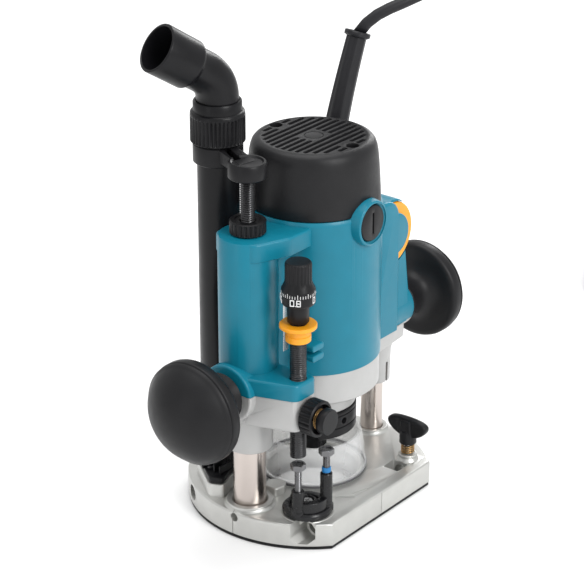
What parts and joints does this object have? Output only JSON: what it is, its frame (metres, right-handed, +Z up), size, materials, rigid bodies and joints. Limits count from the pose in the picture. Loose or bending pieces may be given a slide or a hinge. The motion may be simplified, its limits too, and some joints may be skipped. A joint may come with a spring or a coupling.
{
  "type": "plunge router",
  "caption": "Compact corded plunge router: a motor head with round side grips slides on columns over a D-shaped base, with a dust tube and nozzle, a depth stop pole and a turret stop.",
  "frame": {"origin": "bottom centre of the tool's box without its cord, on the surface the sole stands on", "axes": "+Z up along the spindle, +X towards the right-hand grip with the speed dial, -Y towards the operator and the straight front edge of the base"},
  "size_m": [0.6522, 0.1522, 0.3448],
  "materials": {
    "cast_aluminium": "fine satin casting",
    "machined_aluminium": "satin",
    "chromed_steel": "ground and chromed",
    "bright_steel": "bright",
    "black_steel": "black oxide",
    "teal_plastic": "satin gloss",
    "black_plastic": "satin",
    "dark_plastic": "satin",
    "orange_plastic": "satin",
    "clear_plastic": "clear",
    "rubber": "matt",
    "copper": "turned copper",
    "carbon": "pressed carbon",
    "lamination": "stacked laminations",
    "brass": "bright"
  },
  "bodies": {
    "base": {"base_casting": "cast_aluminium", "sole_plate": "black_plastic", "sole_screw_1": "bright_steel", "sole_screw_2": "bright_steel", "left_column": "chromed_steel", "right_column": "chromed_steel", "return_spring": "bright_steel", "threaded_rod": "black_steel", "dust_foot": "black_plastic", "foot_screw": "bright_steel", "dust_tube": "black_plastic", "tube_arm": "black_plastic", "clear_guard": "clear_plastic", "stopper_pivot": "bright_steel", "clamp_spring": "brass", "power_cord": "rubber", "cord_coil": "rubber", "mains_plug": "rubber"},
    "head": {"motor_housing": "teal_plastic", "head_casting": "cast_aluminium", "motor_cap": "black_plastic", "front_cap_screw": "bright_steel", "rear_cap_screw": "bright_steel", "field_core": "lamination", "upper_bearing": "bright_steel", "lower_bearing": "bright_steel", "front_carbon_brush": "carbon", "rear_carbon_brush": "carbon", "front_brush_cap": "dark_plastic", "rear_brush_cap": "dark_plastic", "left_bush": "brass", "right_bush": "brass", "left_handle": "black_plastic", "right_handle": "black_plastic", "scale_plate": "machined_aluminium", "speed_controller": "dark_plastic", "cord_guard": "rubber"},
    "spindle": {"spindle_shaft": "bright_steel", "armature_core": "lamination", "commutator": "copper", "fan": "dark_plastic", "collet": "bright_steel"},
    "collet_nut": {"collet_nut": "black_steel"},
    "stopper_pole": {"stopper_pole": "black_steel"},
    "depth_knob": {"depth_knob": "black_plastic"},
    "depth_pointer": {"depth_pointer": "orange_plastic"},
    "setting_nut": {"setting_nut": "black_plastic"},
    "feed_button": {"feed_button": "dark_plastic"},
    "shaft_lock": {"shaft_lock": "black_plastic"},
    "speed_dial": {"speed_dial": "orange_plastic"},
    "switch_lever": {"switch_lever": "black_plastic"},
    "lock_lever": {"lock_lever": "black_plastic"},
    "limit_nut": {"limit_nut": "black_plastic"},
    "stopper": {"stopper_block": "black_steel"},
    "short_stop_bolt": {"short_stop_bolt": "black_steel"},
    "tall_stop_bolt": {"tall_stop_bolt": "black_steel"},
    "nozzle_elbow": {"nozzle_elbow": "black_plastic"},
    "nozzle_collar": {"nozzle_collar": "black_plastic"},
    "guide_clamp_screw": {"guide_clamp_screw": "black_plastic"}
  },
  "joints": [
    {"name": "plunge", "type": "slide", "parent": "base", "child": "head", "axis": [0, 0, 1], "range_m": [-0.034, 0], "stiffness_N_per_m": 300, "springref_m": 0.13, "deforming": ["return_spring"]},
    {"name": "spindle_spin", "type": "hinge", "parent": "head", "child": "spindle", "pos_m": [0, -0.00765, 0.1], "axis": [0, 0, 1], "continuous": true},
    {"name": "collet_nut_turn", "type": "hinge", "parent": "spindle", "child": "collet_nut", "pos_m": [0, -0.00765, 0.044], "axis": [0, 0, 1], "range_deg": [-180, 180]},
    {"name": "pole_slide", "type": "slide", "parent": "head", "child": "stopper_pole", "axis": [0, 0, 1], "range_m": [0, 0.034]},
    {"name": "fine_adjust", "type": "hinge", "parent": "stopper_pole", "child": "depth_knob", "pos_m": [-0.067, -0.04715, 0.18], "axis": [0, 0, 1], "range_deg": [-180, 180]},
    {"name": "pointer_slide", "type": "slide", "parent": "stopper_pole", "child": "depth_pointer", "axis": [0, 0, 1], "range_m": [-0.02, 0]},
    {"name": "setting_nut_turn", "type": "hinge", "parent": "head", "child": "setting_nut", "pos_m": [-0.067, -0.06065, 0.098], "axis": [0, 1, 0], "range_deg": [-180, 180]},
    {"name": "feed_press", "type": "slide", "parent": "head", "child": "feed_button", "axis": [0, 1, 0], "range_m": [0, 0.003], "stiffness_N_per_m": 400, "springref_m": -0.004},
    {"name": "shaft_lock_press", "type": "slide", "parent": "head", "child": "shaft_lock", "axis": [0, 1, 0], "range_m": [0, 0.002], "stiffness_N_per_m": 400, "springref_m": -0.004},
    {"name": "speed_dial_turn", "type": "hinge", "parent": "head", "child": "speed_dial", "pos_m": [0.068, -0.02115, 0.172], "axis": [0, 1, 0], "range_deg": [-240, 60]},
    {"name": "switch_tilt", "type": "hinge", "parent": "head", "child": "switch_lever", "pos_m": [0.06, 0.01075, 0.162], "axis": [1, 0, 0], "range_deg": [-12, 12]},
    {"name": "lock_lever_turn", "type": "hinge", "parent": "head", "child": "lock_lever", "pos_m": [-0.0685, 0.01235, 0.095], "axis": [0, 1, 0], "range_deg": [0, 45]},
    {"name": "limit_nut_travel", "type": "slide", "parent": "base", "child": "limit_nut", "axis": [0, 0, 1], "range_m": [0, 0.019]},
    {"name": "stopper_turn", "type": "hinge", "parent": "base", "child": "stopper", "pos_m": [-0.0545, -0.04515, 0.02], "axis": [0, 0, 1], "range_deg": [0, 120]},
    {"name": "short_bolt_turn", "type": "hinge", "parent": "stopper", "child": "short_stop_bolt", "pos_m": [-0.06694, -0.04712, 0.05], "axis": [0, 0, 1], "range_deg": [-180, 180]},
    {"name": "tall_bolt_turn", "type": "hinge", "parent": "stopper", "child": "tall_stop_bolt", "pos_m": [-0.04674, -0.05508, 0.055], "axis": [0, 0, 1], "range_deg": [-180, 180]},
    {"name": "nozzle_swivel", "type": "hinge", "parent": "base", "child": "nozzle_elbow", "pos_m": [-0.051, 0.03075, 0.28], "axis": [0, 0, 1], "continuous": true},
    {"name": "collar_turn", "type": "hinge", "parent": "base", "child": "nozzle_collar", "pos_m": [-0.051, 0.03075, 0.275], "axis": [0, 0, 1], "range_deg": [0, 90]},
    {"name": "guide_clamp_turn", "type": "hinge", "parent": "base", "child": "guide_clamp_screw", "pos_m": [0.0467, -0.05495, 0.03], "axis": [0, 0, 1], "range_deg": [-180, 180]}
  ],
  "couplings": [
    {"joint": "pole_slide", "follows": "plunge", "ratio": -1}
  ]
}
